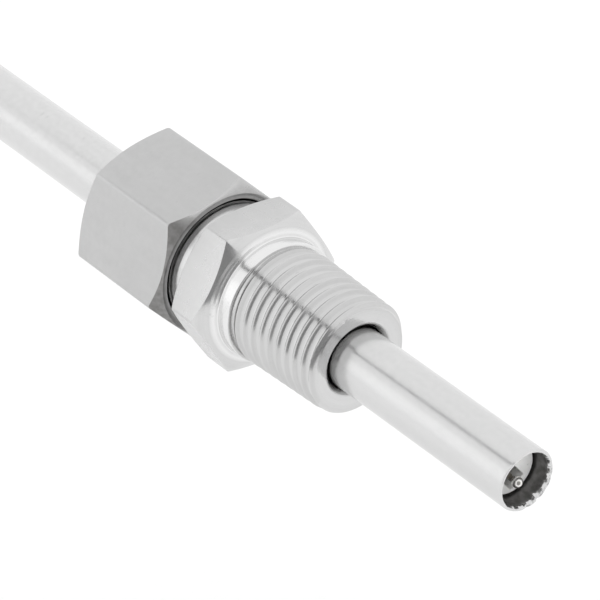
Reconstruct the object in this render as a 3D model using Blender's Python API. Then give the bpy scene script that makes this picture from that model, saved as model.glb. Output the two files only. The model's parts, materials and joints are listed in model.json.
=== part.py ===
"""Thermocouple probe held in an adjustable compression fitting.

The probe's axis is +X, towards the hot tip, and +Z is up. The origin is on that axis, at the
shoulder where the process thread leaves the hexagon. Metres throughout.
"""

import math

import bmesh
import bpy
from mathutils import Matrix, Vector

MM = 0.001
SIDES = 24                       # columns round a turned piece, a multiple of 12

# Clearances
FIT = 0.30 * MM                  # between pieces that seat on each other
THREAD_FIT = 0.25 * MM           # radial, between the nut's thread and the body's
SLIDE_FIT = 0.20 * MM            # radial, between the sheath and what it slides through
WIRE_FIT = 0.30 * MM             # radial, round a wire in its bore
WELD_GAP = 0.30 * MM             # between a wire's end and the bead

# Sheath
SHEATH_OD = 7.0 * MM
SHEATH_WALL = 0.40 * MM
SHEATH_LENGTH = 112.0 * MM
TIP_REACH = 26.6 * MM            # from the thread's end face to the open tip
TIP_EDGE = 0.12 * MM

# Process thread, R 1/4: 19 threads to the inch, taper 1 in 16
PIPE_PITCH = 25.4 / 19 * MM
PIPE_END_OD = 12.8 * MM
PIPE_DEPTH = 0.80 * MM
PIPE_TAPER = 1 / 32              # radius gained for each unit of length
PIPE_LENGTH = 13.2 * MM
PIPE_START = 0.22                # turns by which the thread is set forward
PIPE_BLUNT = 0.7                 # share of the thread's height left at the end face
COLLAR_LENGTH = 2.0 * MM
COLLAR_STEP = 0.20 * MM          # above the thread's last crest
MOUTH_FLARE = 0.5 * MM

# Body hexagon and the neck behind it
BODY_STEP = 0.85 * MM            # from the neck out to the hexagon's flats
BODY_HEX_LENGTH = 5.2 * MM
FACE_STEP = 1.09 * MM            # from the collar out to the front face's edge
FACE_INSET = 0.24 * MM           # least distance from that edge to the flats
NECK_STEP = 0.5 * MM             # above the nut's thread
NECK_LENGTH = 3.2 * MM
HEX_CHAMFER = math.tan(math.radians(30))

# Thread that the nut runs on, M14 x 1.5
NUT_PITCH = 1.5 * MM
NUT_THREAD_OD = 14.0 * MM
NUT_THREAD_DEPTH = 0.90 * MM
NUT_THREAD_LENGTH = 7.6 * MM
SEAT_ANGLE = math.radians(20)    # half angle of the ferrule's seat

# Compression nut
NUT_WALL = 0.55 * MM             # over its mouth, at a flat
NUT_END_WALL = 1.2 * MM          # behind the cone that presses the ferrules
NUT_GAP = 2.2 * MM               # between the body's hexagon and the nut
NUT_FACE_INSET = 0.1 * MM        # from the flats to the end faces' edge
NUT_MOUTH_FIT = 0.45 * MM        # radial, round the neck
NUT_MOUTH_DEPTH = 1.4 * MM
NUT_RELIEF = 0.5 * MM            # thread past the body's rear end
NUT_ROLL = math.radians(13)      # a corner of the nut, from +Y

# Ferrules
FERRULE_WALL = 1.2 * MM
FERRULE_NOSE = 0.2 * MM          # wall left at the front ferrule's nose
FERRULE_COLLAR = 0.9 * MM
BACK_FERRULE_LENGTH = 2.0 * MM

# Hot end
TIP_RECESS = 2.4 * MM            # from the open tip to the disc's face
DISC_THICKNESS = 1.6 * MM
WINDOW = (3.2 * MM, 2.2 * MM)
WINDOW_OFFSET = (0.45 * MM, 0.50 * MM)
WINDOW_ROLL = math.radians(-52)  # the window's long side, from +Y
BEAD_OD = 1.25 * MM
BEAD_OFFSET = (0.95 * MM, 0.60 * MM)
BEAD_PROUD = 0.75 * MM           # bead's centre in front of the disc's face

# Insulators and wires
INSULATORS = 4
INSULATOR_GAP = 0.4 * MM
DISC_GAP = 2.2 * MM
WIRE_OD = 0.6 * MM
WIRE_SPACING = 2.3 * MM

# Rear end: seal, splices, crimped sleeve, cable inlet
SEAL_LENGTH = 4.2 * MM
SLEEVE_WALL = 0.9 * MM
SLEEVE_OVERLAP = 10.0 * MM
SLEEVE_LENGTH = 30.0 * MM
CRIMP_WIDTH = 1.6 * MM
CRIMP_DEPTH = 0.30 * MM
SPLICE_FIT = 0.15 * MM           # radial, round the wire
SPLICE_WALL = 0.35 * MM
SPLICE_LENGTH = 7.0 * MM
SPLICE_START = 4.5 * MM          # behind the sheath's rear end
SLEEVING_FIT = 0.20 * MM         # radial, round the splice
SLEEVING_WALL = 0.30 * MM
SLEEVING_EDGE = 0.45 * MM        # from the sleeving to the sleeve's wall
SLEEVING_LENGTH = 10.0 * MM
INLET_DEPTH = 4.0 * MM
INLET_FLANGE = 2.0 * MM
INLET_BORE = 3.6 * MM

# Derived places and radii
PIPE_END = COLLAR_LENGTH + PIPE_LENGTH
TIP = PIPE_END + TIP_REACH
SHEATH_REAR = TIP - SHEATH_LENGTH
SHEATH_R = SHEATH_OD / 2
SHEATH_BORE_R = SHEATH_R - SHEATH_WALL
GUIDE_R = SHEATH_R + SLIDE_FIT
FERRULE_R = GUIDE_R + FERRULE_WALL
SEAT_R = FERRULE_R + FIT
COLLAR_R = PIPE_END_OD / 2 + PIPE_LENGTH * PIPE_TAPER + COLLAR_STEP
FACE_R = COLLAR_R + FACE_STEP
NECK_R = NUT_THREAD_OD / 2 + NECK_STEP
BODY_AF = 2 * max(NECK_R + BODY_STEP, FACE_R + FACE_INSET)
NUT_MOUTH_R = NECK_R + NUT_MOUTH_FIT
NUT_AF = 2 * (NUT_MOUTH_R + NUT_WALL)
NECK_END = -BODY_HEX_LENGTH - NECK_LENGTH
BODY_REAR = NECK_END - NUT_THREAD_LENGTH
NUT_FRONT = -BODY_HEX_LENGTH - NUT_GAP
FRONT_FERRULE_REAR = BODY_REAR - FIT - FERRULE_COLLAR
BACK_FERRULE_REAR = FRONT_FERRULE_REAR - FIT - BACK_FERRULE_LENGTH
NUT_SHOULDER = BACK_FERRULE_REAR - FIT
NUT_CAVITY_R = FERRULE_R + FIT
NUT_BORE_R = GUIDE_R + FIT
NUT_CONE_END = NUT_SHOULDER - (NUT_CAVITY_R - NUT_BORE_R)
NUT_REAR = NUT_CONE_END - NUT_END_WALL
DISC_FACE = TIP - TIP_RECESS
CORE_R = SHEATH_BORE_R - FIT
INSULATOR_FRONT = DISC_FACE - DISC_THICKNESS - DISC_GAP
INSULATOR_REAR = SHEATH_REAR + SEAL_LENGTH
INSULATOR_STEP = (INSULATOR_FRONT - INSULATOR_REAR) / INSULATORS
INSULATOR_LENGTH = INSULATOR_STEP - INSULATOR_GAP
WIRE_R = WIRE_OD / 2
BORE_R = WIRE_R + WIRE_FIT
SLEEVE_BORE_R = SHEATH_R + FIT
SLEEVE_R = SLEEVE_BORE_R + SLEEVE_WALL
SPLICE_R = WIRE_R + SPLICE_FIT + SPLICE_WALL
SLEEVING_R = SPLICE_R + SLEEVING_FIT + SLEEVING_WALL
LEAD_OFFSET = SLEEVE_BORE_R - SLEEVING_EDGE - SLEEVING_R
SLEEVE_FRONT = SHEATH_REAR + SLEEVE_OVERLAP
SLEEVE_REAR = SLEEVE_FRONT - SLEEVE_LENGTH


def clear_scene():
    for obj in list(bpy.data.objects):
        bpy.data.objects.remove(obj, do_unlink=True)


def material(name, colour, roughness, metallic=0.0):
    mat = bpy.data.materials.new(name)
    mat.use_nodes = True
    shader = mat.node_tree.nodes["Principled BSDF"]
    shader.inputs["Base Color"].default_value = (*colour, 1.0)
    shader.inputs["Roughness"].default_value = roughness
    shader.inputs["Metallic"].default_value = metallic
    return mat


def add(name, bm, mat=None, parent=None, smooth=True):
    """Turns the bmesh into a named object."""
    bmesh.ops.recalc_face_normals(bm, faces=bm.faces)
    mesh = bpy.data.meshes.new(name)
    bm.to_mesh(mesh)
    bm.free()
    if smooth:
        mesh.shade_smooth()
        mesh.set_sharp_from_angle(angle=math.radians(35))
    if mat:
        mesh.materials.append(mat)
    obj = bpy.data.objects.new(name, mesh)
    bpy.context.scene.collection.objects.link(obj)
    if parent:
        obj.parent = parent
        obj.matrix_parent_inverse = parent.matrix_world.inverted()
    return obj


def radial(angle):
    """Unit vector across the axis, at an angle from +Y."""
    return Vector((0.0, math.cos(angle), math.sin(angle)))


def loft(section, sides=SIDES, roll=0.0):
    """Closed solid round X. section(angle) gives one closed loop of (x, r) points, with the
    same count at each angle. Points that coincide become one vertex."""
    bm = bmesh.new()
    made = {}

    def vertex(column, x, r):
        spot = column % sides if r > 1e-7 else -1
        key = (spot, round(x * 1e7), round(r * 1e7))
        if key not in made:
            angle = roll + 2 * math.pi * spot / sides
            made[key] = bm.verts.new(Vector((x, 0, 0)) + r * radial(angle))
        return made[key]

    rings = []
    for column in range(sides + 1):
        loop = section(roll + 2 * math.pi * column / sides)
        rings.append([vertex(column, x, r) for x, r in loop])
    for left, right in zip(rings, rings[1:]):
        for i in range(len(left)):
            k = (i + 1) % len(left)
            corners = []
            for v in (left[i], left[k], right[k], right[i]):
                if v not in corners:
                    corners.append(v)
            if len(corners) > 2:
                bm.faces.new(corners)
    return bm


def turned(points, sides=SIDES, roll=0.0):
    return loft(lambda angle: points, sides, roll)


def thread_height(t):
    """Height from root to crest, 0 to 1, at a share of one pitch."""
    return min(1.0, max(0.0, (t - 0.10) / 0.35), (1.0 - t) / 0.40)


def thread(angle, start, end, pitch, radius, depth, female=False, blunt=0.0, ahead=0.0):
    """One column of a right-hand thread between two stations. Both ends run out: a male
    thread to its root, a female one to its full diameter. blunt is the share of the height
    that is left at the forward end, and ahead sets the thread forward by a part of a turn."""
    flats = (0.0, 0.10, 0.45, 0.60)
    shift = pitch * (angle / (2 * math.pi) + ahead)
    low, high = min(start, end), max(start, end)
    # The same span of turns in each column keeps their points in step.
    first = math.floor(low / pitch) - 3
    last = math.ceil(high / pitch) + 3
    points = []
    for turn in range(first, last):
        for part in flats:
            x = min(max((turn + part) * pitch + shift, low), high)
            height = thread_height((x - shift) / pitch % 1.0)
            run = min(1.0, (x - low) / pitch, blunt + (high - x) / pitch)
            lift = height * run + (1 - run) * (1.0 if female else 0.0)
            points.append((x, radius(x) + depth * lift))
    return points if end > start else points[::-1]


def hexagon_r(angle, across_flats, corner):
    """Distance from the axis to a hexagon's side, with a corner at the given angle."""
    off = (angle - corner) % (math.pi / 3) - math.pi / 6
    return across_flats / 2 / math.cos(off)


def body_section(angle):
    rim = PIPE_END_OD / 2 - PIPE_DEPTH

    def root(x):
        return rim + (PIPE_END - x) * PIPE_TAPER

    side = hexagon_r(angle, BODY_AF, 0.0)
    rear = -BODY_HEX_LENGTH
    rear_r = (NECK_R + BODY_AF / 2) / 2
    nut_root = NUT_THREAD_OD / 2 - NUT_THREAD_DEPTH
    seat_end = seat_x(GUIDE_R + FIT)
    points = [(PIPE_END, GUIDE_R + MOUTH_FLARE)]
    points += thread(
        angle,
        PIPE_END,
        COLLAR_LENGTH,
        PIPE_PITCH,
        root,
        PIPE_DEPTH,
        blunt=PIPE_BLUNT,
        ahead=PIPE_START,
    )
    points += [
        (COLLAR_LENGTH, COLLAR_R),
        (0.0, COLLAR_R),
        (0.0, FACE_R),
        (-(side - FACE_R) * HEX_CHAMFER, side),
        (rear + (side - rear_r) * HEX_CHAMFER, side),
        (rear, rear_r),
        (rear, NECK_R),
        (NECK_END, NECK_R),
    ]
    points += thread(angle, NECK_END, BODY_REAR, NUT_PITCH, lambda x: nut_root, NUT_THREAD_DEPTH)
    points += [
        (BODY_REAR, SEAT_R),
        (seat_end, GUIDE_R + FIT),
        (seat_end, GUIDE_R),
        (PIPE_END - MOUTH_FLARE, GUIDE_R),
    ]
    return points


def nut_section(angle):
    side = hexagon_r(angle, NUT_AF, NUT_ROLL)
    face_r = NUT_AF / 2 - NUT_FACE_INSET
    rear_r = face_r - NUT_FACE_INSET
    minor = NUT_THREAD_OD / 2 - NUT_THREAD_DEPTH + THREAD_FIT
    thread_start = NUT_FRONT - NUT_MOUTH_DEPTH
    thread_end = BODY_REAR - FIT - NUT_RELIEF
    points = [(NUT_FRONT, NUT_MOUTH_R), (NUT_FRONT, face_r)]
    points += [
        (NUT_FRONT - (side - face_r) * HEX_CHAMFER - 0.2 * MM, side),
        (NUT_REAR + (side - rear_r) * HEX_CHAMFER, side),
        (NUT_REAR, rear_r),
        (NUT_REAR, NUT_BORE_R),
        (NUT_CONE_END, NUT_BORE_R),
        (NUT_SHOULDER, NUT_CAVITY_R),
        (thread_end, NUT_CAVITY_R),
    ]
    points += thread(
        angle, thread_end, thread_start, NUT_PITCH, lambda x: minor, NUT_THREAD_DEPTH, True
    )
    points += [(thread_start, NUT_MOUTH_R)]
    return points


def seat_r(x):
    """Radius of the body's conical seat at a station."""
    return SEAT_R - (x - BODY_REAR) * math.tan(SEAT_ANGLE)


def seat_x(r):
    """Station where the seat has this radius."""
    return BODY_REAR + (SEAT_R - r) / math.tan(SEAT_ANGLE)


def front_ferrule():
    """Its cone lies a clearance inside the seat."""
    gap = FIT / math.cos(SEAT_ANGLE)
    nose = GUIDE_R + FERRULE_NOSE
    rear = FRONT_FERRULE_REAR
    knee = rear + FERRULE_COLLAR
    return turned([
        (seat_x(nose + gap), GUIDE_R),
        (seat_x(nose + gap), nose),
        (knee, min(seat_r(knee) - gap, FERRULE_R)),
        (knee, FERRULE_R),
        (rear, FERRULE_R),
        (rear, GUIDE_R),
    ])


def back_ferrule():
    """Its rear chamfer lies a clearance inside the nut's cone."""
    front = FRONT_FERRULE_REAR - FIT
    rear = BACK_FERRULE_REAR
    slant = FERRULE_WALL - 0.35 * MM
    return turned([
        (front, GUIDE_R),
        (front, FERRULE_R - 0.2 * MM),
        (front - 0.2 * MM, FERRULE_R),
        (rear, FERRULE_R),
        (rear - slant, FERRULE_R - slant),
        (rear - slant, GUIDE_R),
    ])


def tube(front, rear, outer, inner, edge=0.0, sides=SIDES):
    return turned([
        (front, inner + edge), (front, outer - edge), (front - edge, outer),
        (rear + edge, outer), (rear, outer - edge), (rear, inner + edge),
        (rear + edge, inner), (front - edge, inner),
    ] if edge else [(front, inner), (front, outer), (rear, outer), (rear, inner)], sides)


def rod(front, rear, radius, sides=SIDES):
    return turned([(front, 0.0), (front, radius), (rear, radius), (rear, 0.0)], sides)


def shifted(bm, offset):
    bmesh.ops.translate(bm, vec=offset, verts=bm.verts)
    return bm


def swept(path, radius, sides=8):
    """Round wire along a list of points, with flat ends."""
    bm = bmesh.new()
    rings = []
    for i, point in enumerate(path):
        before = path[max(i - 1, 0)]
        after = path[min(i + 1, len(path) - 1)]
        along = (after - before).normalized()
        side = along.cross(Vector((0, 0, 1))).normalized()
        up = side.cross(along)
        rings.append([
            bm.verts.new(point + radius * (math.cos(t) * side + math.sin(t) * up))
            for t in (2 * math.pi * k / sides for k in range(sides))
        ])
    for one, two in zip(rings, rings[1:]):
        for k in range(sides):
            m = (k + 1) % sides
            bm.faces.new((one[k], one[m], two[m], two[k]))
    bm.faces.new(rings[0])
    bm.faces.new(rings[-1])
    return bm


def cutter(name, bm, parent):
    obj = add(name, bm, parent=parent, smooth=False)
    obj.hide_render = True
    obj.display_type = "WIRE"
    return obj


def cut(obj, *cutters):
    for tool in cutters:
        boolean = obj.modifiers.new("Cut " + tool.name, "BOOLEAN")
        boolean.operation = "DIFFERENCE"
        boolean.solver = "EXACT"
        boolean.object = tool


def bead_centre():
    along, across = BEAD_OFFSET
    return (
        Vector((DISC_FACE + BEAD_PROUD, 0, 0))
        + along * radial(WINDOW_ROLL)
        + across * radial(WINDOW_ROLL - math.pi / 2)
    )


def wire_path(side):
    """From the splice behind the sheath, through the insulators, to the bead."""
    across = radial(WINDOW_ROLL)
    near = across * side * WIRE_SPACING / 2
    wide = across * side * LEAD_OFFSET
    centre = bead_centre()
    touch = centre - Vector((BEAD_OD / 2 * 0.72 + WELD_GAP, 0, 0)) + across * side * WIRE_R * 1.5
    splice = SHEATH_REAR - SPLICE_START
    return [
        Vector((splice - SPLICE_LENGTH * 0.4, 0, 0)) + wide,
        Vector((splice + 0.8 * MM, 0, 0)) + wide,
        Vector((SHEATH_REAR - 0.8 * MM, 0, 0)) + near,
        Vector((SHEATH_REAR + 0.5 * MM, 0, 0)) + near,
        Vector((INSULATOR_FRONT + 0.4 * MM, 0, 0)) + near,
        Vector((DISC_FACE - DISC_THICKNESS * 0.5, touch.y, touch.z)),
        touch,
    ]


def bead():
    """Welded bead with a small crater in its face."""
    r = BEAD_OD / 2
    pit = 0.30 * r
    profile = [(-r, 0.0)]
    profile += [(-r * math.cos(math.radians(a)), r * math.sin(math.radians(a)))
                for a in range(30, 160, 20)]
    profile += [(r * math.cos(math.asin(pit / r)), pit), (0.35 * r, 0.0)]
    return turned(profile, 12)


def build():
    clear_scene()
    steel = material("Body steel", (0.72, 0.72, 0.72), 0.28, 1.0)
    nut_steel = material("Nut steel", (0.66, 0.66, 0.66), 0.34, 1.0)
    ring_steel = material("Ferrule steel", (0.70, 0.69, 0.67), 0.30, 1.0)
    back_steel = material("Back ferrule steel", (0.64, 0.64, 0.63), 0.33, 1.0)
    tube_steel = material("Sheath steel", (0.75, 0.75, 0.75), 0.24, 1.0)
    sleeve_steel = material("Sleeve steel", (0.70, 0.70, 0.71), 0.30, 1.0)
    white = material("Alumina", (0.86, 0.84, 0.80), 0.55)
    disc_white = material("Tip alumina", (0.80, 0.80, 0.79), 0.50)
    cement = material("Cement", (0.68, 0.66, 0.60), 0.85)
    positive = material("Nickel-chromium wire", (0.45, 0.43, 0.40), 0.35, 1.0)
    negative = material("Nickel-aluminium wire", (0.55, 0.52, 0.47), 0.32, 1.0)
    weld = material("Bead", (0.70, 0.69, 0.67), 0.25, 1.0)
    tinned = material("Tinned copper", (0.72, 0.70, 0.66), 0.32, 1.0)
    yarn = material("Glass sleeving", (0.80, 0.76, 0.62), 0.80)
    rubber = material("Silicone rubber", (0.10, 0.10, 0.11), 0.60)

    axis = bpy.data.objects.new("probe_axis", None)
    nut_axis = bpy.data.objects.new("nut_axis", None)
    nut_axis.location = (NUT_FRONT, 0, 0)
    for empty in (axis, nut_axis):
        bpy.context.scene.collection.objects.link(empty)
    bpy.context.view_layer.update()

    add("fitting_body", loft(body_section), steel)
    add("compression_nut", loft(nut_section, SIDES, NUT_ROLL), nut_steel, nut_axis)
    add("front_ferrule", front_ferrule(), ring_steel, axis)
    add("back_ferrule", back_ferrule(), back_steel, nut_axis)
    add("sheath_tube", tube(TIP, SHEATH_REAR, SHEATH_R, SHEATH_BORE_R, TIP_EDGE), tube_steel, axis)

    # Bores for the two wires, along the whole stack of insulators.
    wires = (("positive", 1, positive), ("negative", -1, negative))
    bores = []
    for name, side, _ in wires:
        bore = rod(INSULATOR_FRONT + 1 * MM, SHEATH_REAR - 1 * MM, BORE_R, 12)
        offset = radial(WINDOW_ROLL) * side * WIRE_SPACING / 2
        bores.append(cutter(name + "_bore", shifted(bore, offset), axis))
    for index in range(INSULATORS):
        front = INSULATOR_FRONT - index * INSULATOR_STEP
        body = rod(front, front - INSULATOR_LENGTH, CORE_R)
        cut(add(f"insulator_{index + 1}", body, white, axis), *bores)
    seal = rod(INSULATOR_REAR, SHEATH_REAR, CORE_R)
    cut(add("rear_seal", seal, cement, axis), *bores)

    disc = add("tip_disc", rod(DISC_FACE, DISC_FACE - DISC_THICKNESS, CORE_R), disc_white, axis)
    window = bmesh.new()
    bmesh.ops.create_cube(window, size=1.0)
    bmesh.ops.scale(window, vec=(3 * DISC_THICKNESS, *WINDOW), verts=window.verts)
    turn = Matrix.Rotation(WINDOW_ROLL, 3, "X")
    bmesh.ops.rotate(window, cent=(0, 0, 0), matrix=turn, verts=window.verts)
    along, across = WINDOW_OFFSET
    spot = Vector((DISC_FACE, 0, 0)) + along * radial(WINDOW_ROLL)
    spot += across * radial(WINDOW_ROLL - math.pi / 2)
    cut(disc, cutter("window_cutter", shifted(window, spot), axis))

    junction = add("junction_bead", bead(), weld, axis)
    junction.location = bead_centre()
    junction.rotation_euler = (0, math.radians(-22), math.radians(-22))
    for name, side, metal in wires:
        add(name + "_wire", swept(wire_path(side), WIRE_R), metal, axis)
        offset = radial(WINDOW_ROLL) * side * LEAD_OFFSET
        front = SHEATH_REAR - SPLICE_START
        splice = tube(front, front - SPLICE_LENGTH, SPLICE_R, SPLICE_R - SPLICE_WALL, 0, 12)
        add(name + "_splice", shifted(splice, offset), tinned, axis)
        front += (SLEEVING_LENGTH - SPLICE_LENGTH) / 2
        bore = SLEEVING_R - SLEEVING_WALL
        cover = tube(front, front - SLEEVING_LENGTH, SLEEVING_R, bore, 0, 12)
        add(name + "_sleeving", shifted(cover, offset), yarn, axis)

    outer, inner = SLEEVE_R, SLEEVE_BORE_R
    profile = [(SLEEVE_FRONT, inner), (SLEEVE_FRONT, outer - 0.3 * MM), (SLEEVE_FRONT - 0.3 * MM, outer)]
    for place in (0.3, 0.65):
        middle = SLEEVE_FRONT - place * SLEEVE_OVERLAP
        for step, drop in ((0.5, 0), (0.25, CRIMP_DEPTH), (-0.25, CRIMP_DEPTH), (-0.5, 0)):
            profile.append((middle + step * CRIMP_WIDTH, outer - drop))
    profile += [(SLEEVE_REAR, outer), (SLEEVE_REAR, inner)]
    add("transition_sleeve", turned(profile), sleeve_steel, axis)

    stem = inner - FIT
    lip = SLEEVE_REAR - FIT
    back = lip - INLET_FLANGE
    add("cable_inlet", turned([
        (SLEEVE_REAR + INLET_DEPTH, INLET_BORE / 2),
        (SLEEVE_REAR + INLET_DEPTH, stem),
        (lip, stem),
        (lip, outer),
        (back + 0.6 * MM, outer),
        (back, outer - 0.6 * MM),
        (back, INLET_BORE / 2),
    ]), rubber, axis)


build()
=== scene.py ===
# %% [markdown]
# # A thermocouple probe in its compression fitting
#
# The probe is a stainless tube with two thermoelement wires inside. A compression fitting holds
# it, and the fitting's tapered thread screws into a boiler wall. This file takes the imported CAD
# model as a fixed frame and builds the surfaces that the eye sees around it. Each cell adds one
# thing.

# %% Load the fixed frame
import json
import math

import bmesh
import bpy
from mathutils import Matrix, Vector

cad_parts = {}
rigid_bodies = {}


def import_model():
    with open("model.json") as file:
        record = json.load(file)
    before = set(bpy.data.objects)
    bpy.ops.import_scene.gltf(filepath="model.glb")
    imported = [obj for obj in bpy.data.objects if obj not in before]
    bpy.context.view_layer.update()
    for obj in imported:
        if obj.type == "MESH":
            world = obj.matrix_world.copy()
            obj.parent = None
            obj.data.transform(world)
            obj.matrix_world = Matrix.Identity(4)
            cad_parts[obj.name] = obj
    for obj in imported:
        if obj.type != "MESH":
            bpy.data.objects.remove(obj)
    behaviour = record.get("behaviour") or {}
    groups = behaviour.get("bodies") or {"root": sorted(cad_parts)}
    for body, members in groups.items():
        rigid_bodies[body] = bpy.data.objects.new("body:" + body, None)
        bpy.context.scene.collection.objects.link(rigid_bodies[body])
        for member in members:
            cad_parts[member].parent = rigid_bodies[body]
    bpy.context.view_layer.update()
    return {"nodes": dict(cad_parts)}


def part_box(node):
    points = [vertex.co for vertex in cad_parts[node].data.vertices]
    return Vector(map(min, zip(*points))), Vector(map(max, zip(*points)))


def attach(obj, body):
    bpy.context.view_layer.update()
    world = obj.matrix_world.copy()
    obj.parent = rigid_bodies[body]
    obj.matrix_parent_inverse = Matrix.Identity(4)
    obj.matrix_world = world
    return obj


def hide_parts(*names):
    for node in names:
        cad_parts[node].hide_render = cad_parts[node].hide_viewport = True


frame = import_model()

# %% [markdown]
# ## The camera
#
# The object is seen from in front of its hot tip, from a third of the way up the sky, through a
# long lens, so its edges stay almost parallel. A camera looks along its own -Z. Turning it 90
# degrees about X, less the elevation, and then about Z by the azimuth is the simplest way to aim
# it level.

# %% Camera
CAMERA_PLACE = (0.2750259, -0.2106990, 0.2327098)
CAMERA_AZIMUTH = 51.994          # degrees round from looking along +Y
CAMERA_ELEVATION = 33.963        # degrees above the horizon
LENS_MM = 237.28

scene = bpy.context.scene
lens = bpy.data.cameras.new("Camera")
lens.lens = LENS_MM
lens.sensor_width = 36.0
lens.clip_start = 0.01
camera = bpy.data.objects.new("Camera", lens)
camera.location = CAMERA_PLACE
camera.rotation_euler = (math.radians(90 - CAMERA_ELEVATION), 0, math.radians(CAMERA_AZIMUTH))
scene.collection.objects.link(camera)
scene.camera = camera
print("Camera at", CAMERA_PLACE, "with a", LENS_MM, "mm lens")

# %% [markdown]
# ## Light and floor
#
# Bright metal shows little colour of its own: it shows what stands round it. So the room is the
# material's other half. Here it is a plain white room with a white floor. A grey cloth beyond the
# tip gives the flanks of the thread and the chamfers their dark side, and a black bar overhead
# draws a fine dark line down every round surface. A bright wall on the left gives the collar and
# the tube a clean highlight that ends at the floor. All three are seen in reflections only, and
# they are placed for this one camera: from another side the metal shows other parts of the room.

# %% White room, cloths and wall light
FLOOR_LEVEL = -0.045
FLOOR_HALF = 3.0
FLOOR_GLOW = 0.08
SHEET_LEVEL = -0.044             # where the cloth and the wall meet the floor
ROOM_LIGHT = 1.07
WALL_LIGHT = 1.24


def panel(name, near_edge, far_edge, mat):
    """A sheet between two edges, each a list of points, that stands beside the object."""
    count = len(near_edge)
    faces = [(i, i + 1, count + i + 1, count + i) for i in range(count - 1)]
    mesh = bpy.data.meshes.new(name)
    mesh.from_pydata([*near_edge, *far_edge], [], faces)
    mesh.materials.append(mat)
    obj = bpy.data.objects.new(name, mesh)
    scene.collection.objects.link(obj)
    return obj


def plain(name, colour, roughness):
    mat = bpy.data.materials.new(name)
    mat.use_nodes = True
    shader = mat.node_tree.nodes["Principled BSDF"]
    shader.inputs["Base Color"].default_value = (*colour, 1)
    shader.inputs["Roughness"].default_value = roughness
    return mat


def glowing(mat, strength):
    shader = mat.node_tree.nodes["Principled BSDF"]
    shader.inputs["Emission Color"].default_value = (1, 1, 1, 1)
    shader.inputs["Emission Strength"].default_value = strength
    return shader


room = bpy.data.worlds.new("White room")
room.use_nodes = True
room.node_tree.nodes["Background"].inputs["Color"].default_value = (1, 1, 1, 1)
room.node_tree.nodes["Background"].inputs["Strength"].default_value = ROOM_LIGHT
scene.world = room
scene.view_settings.view_transform = "Standard"

floor_paint = plain("Floor paint", (0.93, 0.93, 0.93), 0.9)
glowing(floor_paint, FLOOR_GLOW)
panel("floor", [(x, -FLOOR_HALF, FLOOR_LEVEL) for x in (-FLOOR_HALF, FLOOR_HALF)],
      [(x, FLOOR_HALF, FLOOR_LEVEL) for x in (-FLOOR_HALF, FLOOR_HALF)], floor_paint)

# The front cloth stands up at FRONT_X and runs forward along the floor below it. Its sloping edge
# is where every forward-facing surface changes from light to dark, all on one line.
cloth = plain("Grey cloth", (0.27, 0.27, 0.27), 0.9)
bar_cloth = plain("Black cloth", (0.02, 0.02, 0.02), 0.9)
FRONT_X = 0.6
EDGE = [(0.13, 0.045, SHEET_LEVEL), (FRONT_X, 0.128, SHEET_LEVEL), (FRONT_X, -0.10, 0.365)]
FAR_EDGE = [(0.13, -0.10, SHEET_LEVEL), (FRONT_X, -0.44, SHEET_LEVEL),
            (FRONT_X, -0.322, 0.179)]
front_cloth = panel("front_cloth", EDGE, FAR_EDGE, cloth)
BAR = [(-1.1, -0.60), (-0.6, -0.54), (-0.2, -0.49), (0.4, -0.45), (1.2, -0.38), (2.0, -0.23)]
BAR_HALF = 0.06
BAR_HEIGHT = 1.0
bar = panel("overhead_bar", [(x, y - BAR_HALF, BAR_HEIGHT) for x, y in BAR],
            [(x, y + BAR_HALF, BAR_HEIGHT) for x, y in BAR], bar_cloth)

# The wall light stands on the floor. Its lower edge is the sharp line along the tube.
wall_glow = plain("Wall light", (0, 0, 0), 1.0)
glowing(wall_glow, WALL_LIGHT).inputs["Specular IOR Level"].default_value = 0.0
WALL_Y = -1.2
WALL_X = (-2.4, -0.1)
WALL_TOP = 0.80
wall = panel("wall_light", [(x, WALL_Y, SHEET_LEVEL) for x in WALL_X],
             [(x, WALL_Y, WALL_TOP) for x in WALL_X], wall_glow)
for sheet in (front_cloth, bar, wall):
    sheet.visible_camera = False
    sheet.visible_diffuse = False
print("Floor at", FLOOR_LEVEL, "m, wall light", WALL_LIGHT, "times white")

# %% [markdown]
# ## Shared shader effects
#
# The same marks turn up on several metals, so each mark is one node group with its own sockets,
# and a material places it with its own values. A group gives back only masks and heights. The
# first group is the lathe's mark: fine rings round the axis. A noise texture that is stretched
# along the turning direction and squeezed across it draws them, whether the face is round or
# flat, when its three coordinates are the place along the axis, the radius, and a little of the
# angle.


# %% Small helpers for node trees
def socket(group, name, side, kind="NodeSocketFloat", value=None):
    made = group.interface.new_socket(name=name, in_out=side, socket_type=kind)
    if value is not None:
        made.default_value = value
    return made


def math_node(tree, operation, *inputs, clamp=False):
    node = tree.nodes.new("ShaderNodeMath")
    node.operation = operation
    node.use_clamp = clamp
    for slot, value in zip(node.inputs, inputs):
        if isinstance(value, (int, float)):
            slot.default_value = value
        else:
            tree.links.new(value, slot)
    return node.outputs[0]


def new_group(name, inputs, outputs):
    """A node group with float sockets. Returns it with the sockets of its input and output."""
    group = bpy.data.node_groups.new(name, "ShaderNodeTree")
    for label, value in inputs:
        socket(group, label, "INPUT", value=value)
    for label in outputs:
        socket(group, label, "OUTPUT")
    start = group.nodes.new("NodeGroupInput")
    end = group.nodes.new("NodeGroupOutput")
    return group, start.outputs, end.inputs


def noise(tree, vector, scale, detail=3.0, roughness=0.5, distortion=0.0):
    node = tree.nodes.new("ShaderNodeTexNoise")
    node.inputs["Detail"].default_value = detail
    node.inputs["Roughness"].default_value = roughness
    node.inputs["Distortion"].default_value = distortion
    if isinstance(scale, (int, float)):
        node.inputs["Scale"].default_value = scale
    else:
        tree.links.new(scale, node.inputs["Scale"])
    tree.links.new(vector, node.inputs["Vector"])
    return node.outputs["Fac"]


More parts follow.
